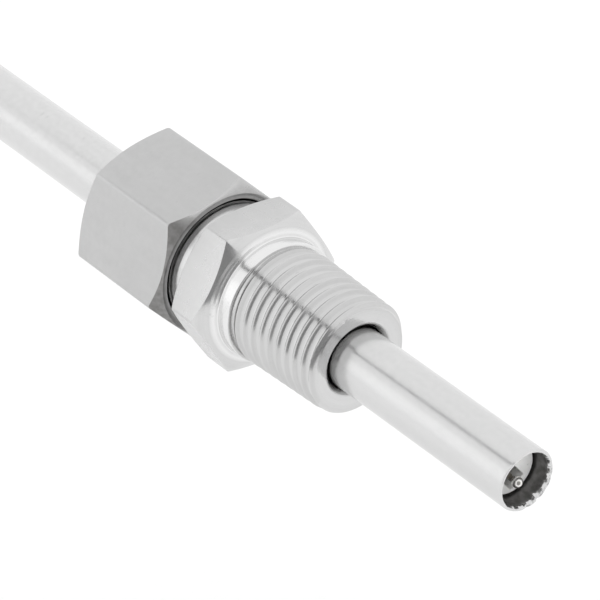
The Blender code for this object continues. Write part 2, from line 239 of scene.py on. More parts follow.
def spread(tree, value, low, high):
    """Stretches low..high to 0..1."""
    node = tree.nodes.new("ShaderNodeMapRange")
    node.inputs["From Min"].default_value = low
    node.inputs["From Max"].default_value = high
    tree.links.new(value, node.inputs["Value"])
    return node.outputs["Result"]


def axis_coordinates(tree):
    """Place along the axis, radius and angle of a point, from its object coordinates."""
    place = tree.nodes.new("ShaderNodeTexCoord").outputs["Object"]
    split = tree.nodes.new("ShaderNodeSeparateXYZ")
    tree.links.new(place, split.inputs[0])
    x, y, z = split.outputs
    radius = math_node(tree, "SQRT", math_node(
        tree, "ADD", math_node(tree, "MULTIPLY", y, y), math_node(tree, "MULTIPLY", z, z)))
    angle = math_node(tree, "ARCTAN2", z, y)
    return place, x, radius, angle


def joined(tree, *parts):
    node = tree.nodes.new("ShaderNodeCombineXYZ")
    for slot, value in zip(node.inputs, parts):
        if isinstance(value, (int, float)):
            slot.default_value = value
        else:
            tree.links.new(value, slot)
    return node.outputs[0]


print("Node helpers ready")

# %% Lathe marks
turned_marks, given, out = new_group(
    "Turned marks", [("Rings per mm", 9.0), ("Wander", 0.6)], ["Height", "Streaks"])
tree = turned_marks
_, along, radius, angle = axis_coordinates(tree)
per_metre = math_node(tree, "MULTIPLY", given["Rings per mm"], 1000.0)
# The angle is taken as sine and cosine, so the pattern closes up round the axis.
sine = math_node(tree, "MULTIPLY", math_node(tree, "SINE", angle), given["Wander"])
cosine = math_node(tree, "MULTIPLY", math_node(tree, "COSINE", angle), given["Wander"])
rings = joined(
    tree,
    math_node(tree, "ADD", math_node(tree, "MULTIPLY", along, per_metre), sine),
    math_node(tree, "ADD", math_node(tree, "MULTIPLY", radius, per_metre), cosine),
    math_node(tree, "ADD", sine, cosine),
)
fine = noise(tree, rings, 1.0, detail=2.0)
broad = noise(tree, rings, 0.22, detail=2.0)
tree.links.new(fine, out["Height"])
tree.links.new(spread(tree, broad, 0.30, 0.70), out["Streaks"])
print("Group:", turned_marks.name)

# %% [markdown]
# Drawn tube and rolled bar carry lengthwise lines instead: the die or the roll drags every speck
# of dirt along the metal. The same noise does it, squeezed across the axis and stretched along
# it.

# %% Drawing lines
drawn_lines, given, out = new_group(
    "Drawn lines", [("Lines per mm", 7.0), ("Stretch", 40.0)], ["Height", "Streaks"])
tree = drawn_lines
place, along, _, _ = axis_coordinates(tree)
per_metre = math_node(tree, "MULTIPLY", given["Lines per mm"], 1000.0)
split = tree.nodes.new("ShaderNodeSeparateXYZ")
tree.links.new(place, split.inputs[0])
lines = joined(
    tree,
    math_node(tree, "DIVIDE", math_node(tree, "MULTIPLY", along, per_metre), given["Stretch"]),
    math_node(tree, "MULTIPLY", split.outputs[1], per_metre),
    math_node(tree, "MULTIPLY", split.outputs[2], per_metre),
)
tree.links.new(noise(tree, lines, 1.0, detail=3.0), out["Height"])
tree.links.new(spread(tree, noise(tree, lines, 0.18, detail=2.0), 0.30, 0.70), out["Streaks"])
print("Group:", drawn_lines.name)

# %% [markdown]
# Nothing that has been handled is the same all over. Fingers, oil and rubbing leave cloudy patches
# that are a little rougher, and a few short scratches and dents. One group gives both masks.

# %% Handling marks
handling, given, out = new_group(
    "Handling marks", [("Patch size mm", 3.0)], ["Clouds", "Scratches"])
tree = handling
place = tree.nodes.new("ShaderNodeTexCoord").outputs["Object"]
per_patch = math_node(tree, "DIVIDE", 1000.0, given["Patch size mm"])
tree.links.new(spread(tree, noise(tree, place, per_patch, detail=4.0), 0.35, 0.65), out["Clouds"])
turn = tree.nodes.new("ShaderNodeMapping")
turn.inputs["Rotation"].default_value = (0.4, 0.9, 0.6)
turn.inputs["Scale"].default_value = (3.0, 0.35, 2.2)
tree.links.new(place, turn.inputs["Vector"])
hair = noise(tree, turn.outputs[0], 900.0, detail=1.0, distortion=0.4)
line = math_node(tree, "ABSOLUTE", math_node(tree, "SUBTRACT", hair, 0.5))
thin = spread(tree, line, 0.006, 0.0)
tree.links.new(math_node(tree, "MULTIPLY", thin, spread(
    tree, noise(tree, place, 420.0, detail=1.0), 0.56, 0.64), clamp=True), out["Scratches"])
print("Group:", handling.name)

# %% [markdown]
# Edges get rubbed bright. Recesses, gaps, thread flanks and one side of some faces get painted
# shade:
# their colour is darkened towards near black and made a little rougher, standing in for the shade
# there. The mesh code below knows where those are, and writes them as numbers on each vertex: wear,
# and a second number that holds the painted shade. This group breaks them up with noise, so a
# bright edge comes and goes as it does on a used fitting. A third number, milled, tells a hexagon's
# flats from the turned faces beside them, and a fourth, polished, marks the bright collar.

# %% Edge wear and painted shade
def stored(tree, name):
    node = tree.nodes.new("ShaderNodeAttribute")
    node.attribute_name = name
    return node.outputs["Fac"]


edge_wear, given, out = new_group(
    "Edge wear and dirt", [("Amount", 0.7), ("Break up", 0.5)], ["Wear", "Painted shade"])
tree = edge_wear
place = tree.nodes.new("ShaderNodeTexCoord").outputs["Object"]
broken = math_node(tree, "MULTIPLY", spread(
    tree, noise(tree, place, 1400.0, detail=3.0), 0.35, 0.65), given["Break up"])
kept = math_node(tree, "SUBTRACT", 1.0, broken)
wear = math_node(tree, "MULTIPLY", stored(tree, "wear"), kept)
tree.links.new(math_node(tree, "MULTIPLY", wear, given["Amount"], clamp=True), out["Wear"])
# The second output is painted shade: the stored darkening, broken up a little by the same noise.
shade_amount = math_node(tree, "SUBTRACT", 1.0, math_node(tree, "MULTIPLY", broken, 0.4))
tree.links.new(math_node(tree, "MULTIPLY", stored(tree, "painted_shade"), shade_amount, clamp=True), out["Painted shade"])
print("Group:", edge_wear.name)


# %% [markdown]
# ## Metals
#
# All the bright pieces are stainless steel, but each was finished another way, so each has its own
# material: base colour, roughness, which marks and how deep. The function below holds what they
# share. The shader itself stays in the material, and the marks reach it as a colour, a roughness
# and the height of a bump.

# %% One recipe for the steels
def placed(tree, group, **values):
    node = tree.nodes.new("ShaderNodeGroup")
    node.node_tree = group
    for label, value in values.items():
        node.inputs[label.replace("_", " ")].default_value = value
    return node.outputs


def mixed(tree, factor, one, two):
    """Blend of two colours by a mask."""
    node = tree.nodes.new("ShaderNodeMix")
    node.data_type = "RGBA"
    tree.links.new(factor, node.inputs[0])
    for slot, value in zip((node.inputs[6], node.inputs[7]), (one, two)):
        if isinstance(value, tuple):
            slot.default_value = (*value, 1)
        else:
            tree.links.new(value, slot)
    return node.outputs[2]


def steel(name, colour, roughness, marks, mark_values, depth_um, streak=0.05, cloud=0.06,
          worn=0.5, flats=None):
    """Stainless steel. depth_um is the depth of the tool marks in micrometres. flats gives the
    colour and roughness of a hexagon's flats, where they differ from the turned faces."""
    mat = bpy.data.materials.new(name)
    mat.use_nodes = True
    tree = mat.node_tree
    shader = tree.nodes["Principled BSDF"]
    shader.inputs["Metallic"].default_value = 1.0
    tool = placed(tree, marks, **mark_values)
    hand = placed(tree, handling)
    edge = placed(tree, edge_wear, Amount=worn)
    base = mixed(tree, tool["Streaks"], tuple(c * (1 - streak) for c in colour),
                 tuple(min(1.0, c * (1 + streak)) for c in colour))
    rough, height = roughness, tool["Height"]
    if flats:
        flat_colour, flat_roughness = flats
        milled = stored(tree, "milled")
        rolled = placed(tree, drawn_lines, Lines_per_mm=5.0, Stretch=5.0)
        flat_base = mixed(tree, rolled["Streaks"], tuple(c * 0.98 for c in flat_colour),
                          tuple(c * 1.02 for c in flat_colour))
        base = mixed(tree, milled, base, flat_base)
        rough = math_node(tree, "MULTIPLY_ADD", milled, flat_roughness - roughness, roughness)
        turned = math_node(tree, "MULTIPLY", height, math_node(tree, "SUBTRACT", 1.0, milled))
        height = math_node(tree, "MULTIPLY_ADD", math_node(
            tree, "MULTIPLY", rolled["Height"], milled), 0.5, turned)
    base = mixed(tree, stored(tree, "polished"), base, (0.80, 0.80, 0.80))
    base = mixed(tree, edge["Wear"], base, tuple(min(1.0, c * 1.15) for c in colour))
    base = mixed(tree, math_node(tree, "MULTIPLY", hand["Scratches"], 0.4), base,
                 tuple(c * 0.55 for c in colour))
    # Painted shade: where the mesh marks a recess, a gap, a thread flank or a shaded side, the
    # colour goes towards near black, standing in for shade.
    base = mixed(tree, math_node(tree, "MULTIPLY", edge["Painted shade"], 0.85), base,
                 (0.10, 0.095, 0.09))
    tree.links.new(base, shader.inputs["Base Color"])
    rough = math_node(tree, "ADD", rough, math_node(
        tree, "MULTIPLY", math_node(tree, "SUBTRACT", hand["Clouds"], 0.5), cloud))
    rough = math_node(tree, "MULTIPLY_ADD", edge["Painted shade"], 0.2, rough, clamp=True)
    tree.links.new(rough, shader.inputs["Roughness"])
    bump = tree.nodes.new("ShaderNodeBump")
    bump.inputs["Distance"].default_value = depth_um * 1e-6
    bump.inputs["Strength"].default_value = 1.0
    height = math_node(tree, "SUBTRACT", height,
                       math_node(tree, "MULTIPLY", hand["Scratches"], 0.6))
    tree.links.new(height, bump.inputs["Height"])
    tree.links.new(bump.outputs["Normal"], shader.inputs["Normal"])
    return mat


body_steel = steel("Body steel", (0.63, 0.63, 0.63), 0.16, turned_marks,
                   {"Rings_per_mm": 6.0, "Wander": 0.25}, 5.0,
                   flats=((0.57, 0.57, 0.57), 0.28))
nut_steel = steel("Nut steel", (0.56, 0.56, 0.56), 0.24, turned_marks,
                  {"Rings_per_mm": 6.0, "Wander": 0.25}, 4.0,
                  flats=((0.505, 0.505, 0.505), 0.36))
tube_steel = steel("Tube steel", (0.64, 0.64, 0.64), 0.25, drawn_lines,
                   {"Lines_per_mm": 5.0, "Stretch": 80.0}, 0.6, streak=0.02, cloud=0.04)
ring_steel = steel("Ferrule steel", (0.64, 0.63, 0.61), 0.24, turned_marks,
                   {"Rings_per_mm": 8.0, "Wander": 0.3}, 4.0)
sleeve_steel = steel("Sleeve steel", (0.64, 0.64, 0.65), 0.28, drawn_lines,
                     {"Lines_per_mm": 5.0, "Stretch": 60.0}, 1.0, streak=0.04)
bead_metal = steel("Bead metal", (0.86, 0.85, 0.83), 0.25, turned_marks,
                   {"Rings_per_mm": 2.0, "Wander": 2.0}, 12.0)
tin = steel("Tinned copper", (0.70, 0.69, 0.66), 0.34, drawn_lines,
            {"Lines_per_mm": 5.0, "Stretch": 4.0}, 5.0)
dark_wire = steel("Nickel-chromium wire", (0.42, 0.40, 0.37), 0.38, drawn_lines,
                  {"Lines_per_mm": 12.0, "Stretch": 20.0}, 3.0)
pale_wire = steel("Nickel-aluminium wire", (0.52, 0.49, 0.44), 0.36, drawn_lines,
                  {"Lines_per_mm": 12.0, "Stretch": 20.0}, 3.0)
metals = (body_steel, nut_steel, tube_steel, ring_steel, sleeve_steel, bead_metal, tin,
          dark_wire, pale_wire)
print("Metals:", [metal.name for metal in metals])


# %% [markdown]
# ## Ceramic, cement, sleeving and rubber
#
# These don't shine, so they are told apart by grain. Fired alumina is a fine even powder with a
# few dark specks. Cement is coarser and pitted. Braided glass is a weave of two sets of threads,
# and moulded rubber is dark with a faint bloom. One recipe takes the grain's size and depth.

# %% One recipe for the dull materials
def dull(name, colour, roughness, grain_mm, depth_um, fleck=0.0, tint=0.05, braid=0.0):
    mat = bpy.data.materials.new(name)
    mat.use_nodes = True
    tree = mat.node_tree
    shader = tree.nodes["Principled BSDF"]
    place = tree.nodes.new("ShaderNodeTexCoord").outputs["Object"]
    grain = noise(tree, place, 1000.0 / grain_mm, detail=5.0, roughness=0.65)
    clouds = placed(tree, handling)["Clouds"]
    base = mixed(tree, clouds, tuple(c * (1 - tint) for c in colour),
                 tuple(min(1.0, c * (1 + tint)) for c in colour))
    specks = spread(tree, noise(tree, place, 2600.0, detail=1.0), 0.70, 0.76)
    base = mixed(tree, math_node(tree, "MULTIPLY", specks, fleck, clamp=True), base,
                 tuple(c * 0.4 for c in colour))
    height = grain
    if braid:
        _, along, _, angle = axis_coordinates(tree)
        turns = math_node(tree, "MULTIPLY", angle, 4.0)
        pitch = math_node(tree, "MULTIPLY", along, 2 * math.pi * 1000.0 / braid)
        one = math_node(tree, "SINE", math_node(tree, "ADD", pitch, turns))
        two = math_node(tree, "SINE", math_node(tree, "SUBTRACT", pitch, turns))
        weave = math_node(tree, "MULTIPLY", one, two)
        height = math_node(tree, "MULTIPLY_ADD", weave, 0.5, grain)
        base = mixed(tree, spread(tree, weave, -0.6, 0.6), tuple(c * 0.75 for c in colour), base)
    tree.links.new(base, shader.inputs["Base Color"])
    tree.links.new(math_node(tree, "MULTIPLY_ADD", clouds, 0.1, roughness - 0.05),
                   shader.inputs["Roughness"])
    bump = tree.nodes.new("ShaderNodeBump")
    bump.inputs["Distance"].default_value = depth_um * 1e-6
    tree.links.new(height, bump.inputs["Height"])
    tree.links.new(bump.outputs["Normal"], shader.inputs["Normal"])
    return mat


alumina = dull("Alumina", (0.84, 0.82, 0.78), 0.55, 0.10, 8.0, fleck=0.5)
# Painted light: the tip disc gets a lighter copy of the alumina, which offsets the shade it sits in
# inside the tube's mouth.
lightened_alumina = dull("Tip alumina", (0.95, 0.95, 0.94), 0.50, 0.12, 10.0, fleck=0.4)
cement = dull("Cement", (0.62, 0.60, 0.55), 0.88, 0.30, 40.0, fleck=0.8, tint=0.10)
sleeving = dull("Glass sleeving", (0.80, 0.75, 0.60), 0.75, 0.15, 40.0, braid=0.9)
# A near-black copy of the alumina, given to the insulator behind the tip's window.
dark_alumina = dull("Near-black alumina", (0.10, 0.09, 0.08), 0.80, 0.15, 12.0, fleck=0.3)
rubber = dull("Silicone rubber", (0.035, 0.035, 0.038), 0.62, 0.25, 12.0, tint=0.12)
print("Dull materials:", alumina.name, cement.name, sleeving.name, rubber.name)

# %% [markdown]
# ## Turning a shape
#
# Nearly every piece is round about the X axis, and the two hexagons and the threads are nearly
# so. A Screw modifier could turn a plain profile, but not one that changes with the angle. So one
# function walks round the axis and asks for the profile at each angle: a fixed list of points,
# each with its place along the axis, its radius and its wear. Points that fall together share a
# vertex, which is what lets a thread's turns meet themselves after one trip round.

# %% Profiles and lofts
MM = 0.001


def across(angle):
    """Unit vector away from the axis, at an angle from +Y."""
    return Vector((0.0, math.cos(angle), math.sin(angle)))


def finished(name, bm, mat, marks=None, smooth_angle=40):
    """Makes the object, shades it smooth and stores the four marks on its vertices."""
    bmesh.ops.recalc_face_normals(bm, faces=bm.faces)
    mesh = bpy.data.meshes.new(name)
    bm.to_mesh(mesh)
    bm.free()
    mesh.shade_smooth()
    mesh.set_sharp_from_angle(angle=math.radians(smooth_angle))
    for i, label in enumerate(("wear", "painted_shade", "milled", "polished")):
        layer = mesh.attributes.new(label, "FLOAT", "POINT")
        if marks:
            layer.data.foreach_set("value", [mark[i] for mark in marks])
    mesh.materials.append(mat)
    obj = bpy.data.objects.new(name, mesh)
    scene.collection.objects.link(obj)
    return obj


def lofted(name, section, angles, mat, smooth_angle=40, flats=None, polished=(0, 0)):
    """Closed solid round X. section(angle) returns one loop of (x, r, wear, painted shade) in
    millimetres, and flats(angle) the distance of a hexagon's flats. polished is the bright span
    along X."""
    bm = bmesh.new()
    found, marks = {}, []

    def vertex(column, x, r, wear, painted_shade):
        spot = column % len(angles) if r > 1e-4 else -1
        key = (spot, round(x * 1e4), round(r * 1e4))
        if key not in found:
            place = Vector((x, 0, 0)) + r * across(angles[spot])
            found[key] = bm.verts.new(place * MM)
            milled = float(bool(flats) and r > flats(angles[spot]) - 0.02)
            marks.append((wear, painted_shade, milled, float(polished[0] < x < polished[1])))
        return found[key]

    full = [*angles, angles[0] + 2 * math.pi]
    rings = [[vertex(i, *point) for point in section(a)] for i, a in enumerate(full)]
    for left, right in zip(rings, rings[1:]):
        for i, start in enumerate(left):
            k = (i + 1) % len(left)
            corners = list(dict.fromkeys((start, left[k], right[k], right[i])))
            if len(corners) > 2:
                bm.faces.new(corners)
    return finished(name, bm, mat, marks, smooth_angle)


def rounded(corners, steps=3):
    """Rounds a loop's corners. A corner is (x, r, radius), then its wear and its painted shade, a
    darkening of the colour that stands in for shade. Radius 0 keeps it sharp. Every corner gives
    the same number of points whatever the shape."""
    points = []
    count = len(corners)
    for i, (x, r, radius, *rest) in enumerate(corners):
        wear, painted_shade = (*rest, *(1.0 if radius else 0.0, 0.0)[len(rest):])
        if not radius:
            points.append((x, r, wear, painted_shade))
            continue
        here = Vector((x, r))
        before = Vector(corners[i - 1][:2]) - here
        after = Vector(corners[(i + 1) % count][:2]) - here
        if before.length < 1e-6 or after.length < 1e-6:
            points += [(x, r, wear, painted_shade)] * (steps + 1)
            continue
        half = before.angle(after) / 2
        reach = min(radius / max(math.tan(half), 1e-3), 0.49 * before.length, 0.49 * after.length)
        one, two = here + before.normalized() * reach, here + after.normalized() * reach
        for step in range(steps + 1):
            t = step / steps
            spot = one * (1 - t) ** 2 + here * 2 * t * (1 - t) + two * t ** 2
            points.append((spot.x, spot.y, wear, painted_shade))
    return points


def even_angles(count, roll=0.0):
    return [roll + 2 * math.pi * i / count for i in range(count)]


def hexagon_angles(roll, per_side=8, corner=math.radians(2.4)):
    """Angles round a hexagon, close together at its six corners."""
    angles = []
    for side in range(6):
        start = roll + side * math.pi / 3
        angles += [start + corner * k / 3 for k in range(-3, 4)]
        inner = math.pi / 3 - 2 * corner
        angles += [start + corner + inner * (k + 1) / (per_side + 1) for k in range(per_side)]
    return angles


def hexagon_radius(angle, flats, roll, corner_radius):
    """Distance from the axis to a hexagon with rounded corners."""
    off = (angle - roll) % (math.pi / 3)
    off = min(off, math.pi / 3 - off)               # angle from the nearest corner
    straight = flats / 2 / math.cos(math.pi / 6 - off)
    centre = (flats / 2 - corner_radius) / math.cos(math.pi / 6)
    sine = centre * math.sin(off) / corner_radius
    if sine > math.sin(math.pi / 6):                # past the rounding
        return straight
    return centre * math.cos(off) + math.sqrt(corner_radius ** 2 - (centre * math.sin(off)) ** 2)


print("Round helpers ready, wear is stored on each vertex")

# %% [markdown]
# ## Threads
#
# A thread's radius depends on where a point lies between two crests, and that place slides along
# by one pitch in each turn. So in every column the same list of points is shifted a little
# further, and points past either end are held there. The height is read from each point's final
# place, so the thread is cut off cleanly. The pipe thread was made by a worn die: narrow crests
# with wide, round grooves between them, which a power of the distance from the root gives.

# %% Thread columns
THREAD_STEPS = 16                # points from one crest to the next


def thread_height(t, power, crest=0.06):
    """Height from 0 at a root to 1 at a crest, t turns past a root."""
    up = min(1.0, (1 - abs(2 * (t % 1.0) - 1)) / (1 - crest))
    return up ** power


def thread(angle, low, high, pitch, radius, depth, power=1.9, blunt=0.0, rise=0.0, female=False,
           ahead=0.0):
    """Points of one column between two stations, from low x to high x. blunt is the share of the
    height that is left at the high end, rise the height that the low end starts from, and ahead
    the part of a turn by which the whole thread is set forward."""
    shift = pitch * (angle / (2 * math.pi) + ahead)
    points = []
    for turn in range(math.floor(low / pitch) - 4, math.ceil(high / pitch) + 4):
        for step in range(THREAD_STEPS):
            x = min(max((turn + step / THREAD_STEPS) * pitch + shift, low), high)
            height = thread_height((x - shift) / pitch, power)
            run = min(1.0, (x - low) / pitch, blunt + (high - x) / pitch * 1.5)
            end = 1.0 if female else rise if x - low < high - x else 0.0
            t = (x - shift) / pitch % 1.0
            # Painted shade: the flank just past each crest is darkened more than the rest of the
            # thread, standing in for the shade in the groove.
            shade_amount = 0.16 if 0.52 < t < 0.80 else 0.04
            points.append((x, radius(x) + depth * (height * run + (1 - run) * end),
                           0.5 * height ** 8 * run, shade_amount))
    return points


print("Each turn of thread has", THREAD_STEPS, "points in a column")

# %% [markdown]
# ## The fitting body
#
# One turned piece: the tapered pipe thread, a bright collar, a hexagon with a chamfer on both
# sides, a neck, and hidden in the nut a second thread and the seat that squeezes the ferrules.
# The profile is written once, from the thread's end face, round the outside and back through the
# bore.

# %% Fitting body
BODY_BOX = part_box("fitting_body")
PIPE_END = round(BODY_BOX[1][0] / MM, 3)
BODY_REAR = round(BODY_BOX[0][0] / MM, 3)
PIPE_PITCH = 25.4 / 19
PIPE_END_R = 6.4
PIPE_DEPTH = 0.58
PIPE_START = 0.22                # turns
COLLAR_FRONT = 2.12
COLLAR_R = 7.03
FACE_R = 8.09                    # edge of the hexagon's front face
BODY_FLATS = 16.7
HEX_REAR = -5.2
HEX_REAR_R = 7.925
NECK_R = 7.5
NECK_END = -8.4
NUT_PITCH = 1.5
NUT_ROOT_R = 6.1
NUT_DEPTH = 0.9
SEAT_R = 5.2
BORE_R = 3.7
SLOPE_30 = math.tan(math.radians(30))
SEAT_SLOPE = math.tan(math.radians(20))
SOFT_DEGREES = 12


def pipe_root(x):
    return PIPE_END_R - PIPE_DEPTH + (PIPE_END - x) / 32


def body_side(angle):
    return hexagon_radius(angle, BODY_FLATS, 0.0, 0.30)


def shaded_side(angle, start, end):
    """1 between two angles in degrees, on the side that is given painted shade, 0 elsewhere, soft
    ends.
    """
    degrees = math.degrees(angle) % 360
    return max(0.0, min(1.0, (degrees - start) / SOFT_DEGREES, (end - degrees) / SOFT_DEGREES))


def body_section(angle):
    side = body_side(angle)
    # Painted shade on the collar's front face, stronger on one side.
    shade_amount = 0.15 + 0.6 * shaded_side(angle, 125, 260)
    seat_end = BODY_REAR + (SEAT_R - BORE_R - 0.3) / SEAT_SLOPE
    # Painted shade, the last number on some corners: the collar's front face, the step up to the
    # hexagon, the hexagon's rear edge and the neck are darkened, standing in for shade.
    outside = rounded([
        (COLLAR_FRONT, PIPE_END_R + 0.20, 0, 0.0, shade_amount),
        (COLLAR_FRONT, COLLAR_R - 0.10, 0, 0.0, 0.5 * shade_amount),
        (COLLAR_FRONT - 0.06, COLLAR_R, 0.05, 0.4),
        (0.48, COLLAR_R, 0.08, 0.0),
        (0.37, COLLAR_R + 0.16, 0.08, 0.0, 0.2),
        (0.28, COLLAR_R + 0.45, 0.15, 0.0),
        (0.16, COLLAR_R + 0.66, 0.15, 0.0, 0.1),
        (0.05, FACE_R - 0.10, 0.15, 0.0),
        (-(side - FACE_R) * SLOPE_30, side, 0.12, 0.6),
        (HEX_REAR + (side - HEX_REAR_R) * SLOPE_30, side, 0.10, 0.0, 0.05),
        (HEX_REAR, HEX_REAR_R, 0.10, 0.0, 0.30),
        (HEX_REAR, NECK_R, 0, 0.0, 0.6),
        (HEX_REAR - 0.2, NECK_R, 0, 0.0),
        (NECK_END, NECK_R, 0.10),
        (NECK_END, NUT_ROOT_R + 0.1, 0, 0.0, 0.5),
    ])
    # Painted shade: the bore and its countersink are darkened, standing in for shade.
    inside = rounded([
        (BODY_REAR, NUT_ROOT_R - 0.1, 0.10),
        (BODY_REAR, SEAT_R, 0.10),
        (seat_end, BORE_R + 0.3, 0),
        (seat_end, BORE_R, 0.05),
        (PIPE_END - 0.55, BORE_R, 0.10, 0.0, 0.8),
        (PIPE_END - 0.10, BORE_R + 0.40, 0.15, 0.0, 0.3),
        (PIPE_END, BORE_R + 0.60, 0.10, 0.3),
        (PIPE_END, 5.55, 0, 0.0),
    ])
    pipe = thread(angle, COLLAR_FRONT + 0.05, PIPE_END - 0.05, PIPE_PITCH, pipe_root, PIPE_DEPTH,
                  blunt=0.75, rise=0.6, ahead=PIPE_START)
    nut_run = thread(angle, BODY_REAR + 0.1, NECK_END, NUT_PITCH, lambda x: NUT_ROOT_R, NUT_DEPTH,
                     power=1.0)
    # The loop runs from the end face to the collar, over the hexagon and back through the bore.
    return pipe[::-1] + outside + nut_run[::-1] + inside


body_angles = sorted(set(round(a % (2 * math.pi), 6) for a in (
    hexagon_angles(0.0, 0) + even_angles(150))))
fitting = lofted("fitting_shell", body_section, body_angles, body_steel, flats=body_side,
                 polished=(0.12, COLLAR_FRONT + 0.02))
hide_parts("fitting_body")
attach(fitting, "fitting")
print("Fitting body:", len(fitting.data.polygons), "faces")

# %% [markdown]
# ## The compression nut
#
# A long hexagon bar, chamfered by the lathe at both ends, with a recessed mouth round the neck, a
# thread inside and a cone at the back that pushes the ferrules. Its flats are left as rolled, so
# they are satin where the body is bright. The mouth is drawn shallower than it is in the CAD
# model, with a lip at its foot. A deep narrow gap would show as a plain black ring.

# %% Compression nut
NUT_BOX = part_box("compression_nut")
NUT_FRONT = round(NUT_BOX[1][0] / MM, 3)
NUT_REAR = round(NUT_BOX[0][0] / MM, 3)
NUT_FLATS = 17.0
NUT_ROLL = math.radians(13)
NUT_FACE_R = 8.40
NUT_MOUTH_R = 7.80
NUT_CHAMFER = 0.75               # length along X for each unit of radius
LIP_R = NECK_R + 0.12            # clears the body's neck
NUT_MINOR_R = NUT_ROOT_R + 0.25
NUT_CAVITY_R = 5.2
THREAD_END = BODY_REAR - 0.8
NUT_SHOULDER = -19.8
NUT_BORE_R = 4.0


def nut_side(angle):
    return hexagon_radius(angle, NUT_FLATS, NUT_ROLL, 0.55)


def nut_section(angle):
    side = nut_side(angle)
    # Painted shade: the mouth, the front face, the rear bore and, on one side, the front chamfer
    # are darkened, standing in for shade.
    shaded = shaded_side(angle, 117, 235)
    outside = rounded([
        (NUT_FRONT - 1.15, LIP_R, 0, 0.0, 0.6),
        (NUT_FRONT - 0.38, LIP_R, 0, 0.0, 0.6),
        (NUT_FRONT - 0.35, NUT_MOUTH_R, 0, 0.0, 0.6),
        (NUT_FRONT - 0.05, NUT_MOUTH_R, 0.05, 0.0, 0.4),
        (NUT_FRONT, NUT_FACE_R, 0.08, 0.0, 0.45 + 0.45 * shaded),
        (NUT_FRONT - 0.15 - (side - NUT_FACE_R) * NUT_CHAMFER, side - 0.05, 0, 0.0, 0.9 * shaded),
        (NUT_FRONT - 0.19 - (side - NUT_FACE_R) * NUT_CHAMFER, side, 0.10, 0.3),
        (NUT_REAR + (side - NUT_FACE_R + 0.1) * SLOPE_30, side, 0.15, 0.5),
        (NUT_REAR, NUT_FACE_R - 0.1, 0.10),
        (NUT_REAR, NUT_BORE_R, 0.12, 0.5, 0.6),
        (NUT_SHOULDER - 1.2, NUT_BORE_R, 0),
        (NUT_SHOULDER, NUT_CAVITY_R, 0),
        (THREAD_END, NUT_CAVITY_R, 0.05),
    ])
    inner = thread(angle, THREAD_END, NUT_FRONT - 1.4, NUT_PITCH, lambda x: NUT_MINOR_R,
                   NUT_DEPTH, power=1.0, female=True)
    return outside + inner


nut_angles = sorted(hexagon_angles(NUT_ROLL, 12))
nut = lofted("nut_shell", nut_section, nut_angles, nut_steel, flats=nut_side)
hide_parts("compression_nut")
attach(nut, "nut")
print("Nut:", len(nut.data.polygons), "faces, from", NUT_REAR, "to", NUT_FRONT, "mm")

# %% [markdown]
# ## The ferrules
#
# Two rings between the nut and the seat: the front one is a cone that the seat squeezes on to the
# sheath, the back one a plain ring with a chamfer. They are out of sight while the nut is on.

# %% Ferrules
FERRULE_R = 4.9
FERRULE_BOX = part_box("front_ferrule")
ferrule_rear, ferrule_front = (FERRULE_BOX[0][0] / MM, FERRULE_BOX[1][0] / MM)
knee = ferrule_rear + 0.9
front_ring = lofted("front_ring", lambda a: rounded([
    (ferrule_front, BORE_R, 0.05),
    (ferrule_front, BORE_R + 0.2, 0.05),
    (knee, FERRULE_R - 0.03, 0.05),
    (knee, FERRULE_R, 0.05),
    (ferrule_rear, FERRULE_R, 0.10),
    (ferrule_rear, BORE_R, 0.05),
]), even_angles(96), ring_steel)
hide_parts("front_ferrule")
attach(front_ring, "grip")

BACK_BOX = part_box("back_ferrule")
back_rear, back_front = BACK_BOX[0][0] / MM, BACK_BOX[1][0] / MM
back_ring = lofted("back_ring", lambda a: rounded([
    (back_front, BORE_R, 0.05),
    (back_front, FERRULE_R - 0.2, 0.05),
    (back_front - 0.2, FERRULE_R, 0.05),
    (back_rear + 0.85, FERRULE_R, 0.10),
    (back_rear, FERRULE_R - 0.85, 0.05),
    (back_rear, BORE_R, 0.05),
]), even_angles(96), ring_steel)
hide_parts("back_ferrule")
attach(back_ring, "nut_carriage")
print("Ferrules between", round(back_rear, 2), "and", round(ferrule_front, 2), "mm")

# %% [markdown]
# ## The sheath
#
# A thin drawn tube, open at the hot end so that gas reaches the junction. It was sawn off and
# left as it was: the rim is a little uneven, with one nick and a rolled-in burr. The profile's
# end moves with the angle to give that.

# %% Sheath
TUBE_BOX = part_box("sheath_tube")
TUBE_TIP, TUBE_REAR = TUBE_BOX[1][0] / MM, TUBE_BOX[0][0] / MM
TUBE_R = 3.5
TUBE_BORE_R = 3.1
NICKS = ((-62, 0.20, 0.05), (-40, 0.08, 0.08), (-88, 0.10, 0.09), (-15, 0.07, 0.06))


def wobble(angle, *waves):
    """Sum of sine waves round the tube, each (count, height, start)."""
    return sum(height * math.sin(count * angle + start) for count, height, start in waves)


def rim_cut(angle):
    """How far the sawn rim falls short at an angle, in millimetres."""
    cut = 0.06 + wobble(angle, (2, 0.030, 0.6), (5, 0.018, 1.1), (11, 0.010, 0.0))
    for degrees, depth, width in NICKS:
        off = (angle - math.radians(degrees) + math.pi) % (2 * math.pi) - math.pi
        cut += depth * math.exp(-(off / width) ** 2)
    return cut


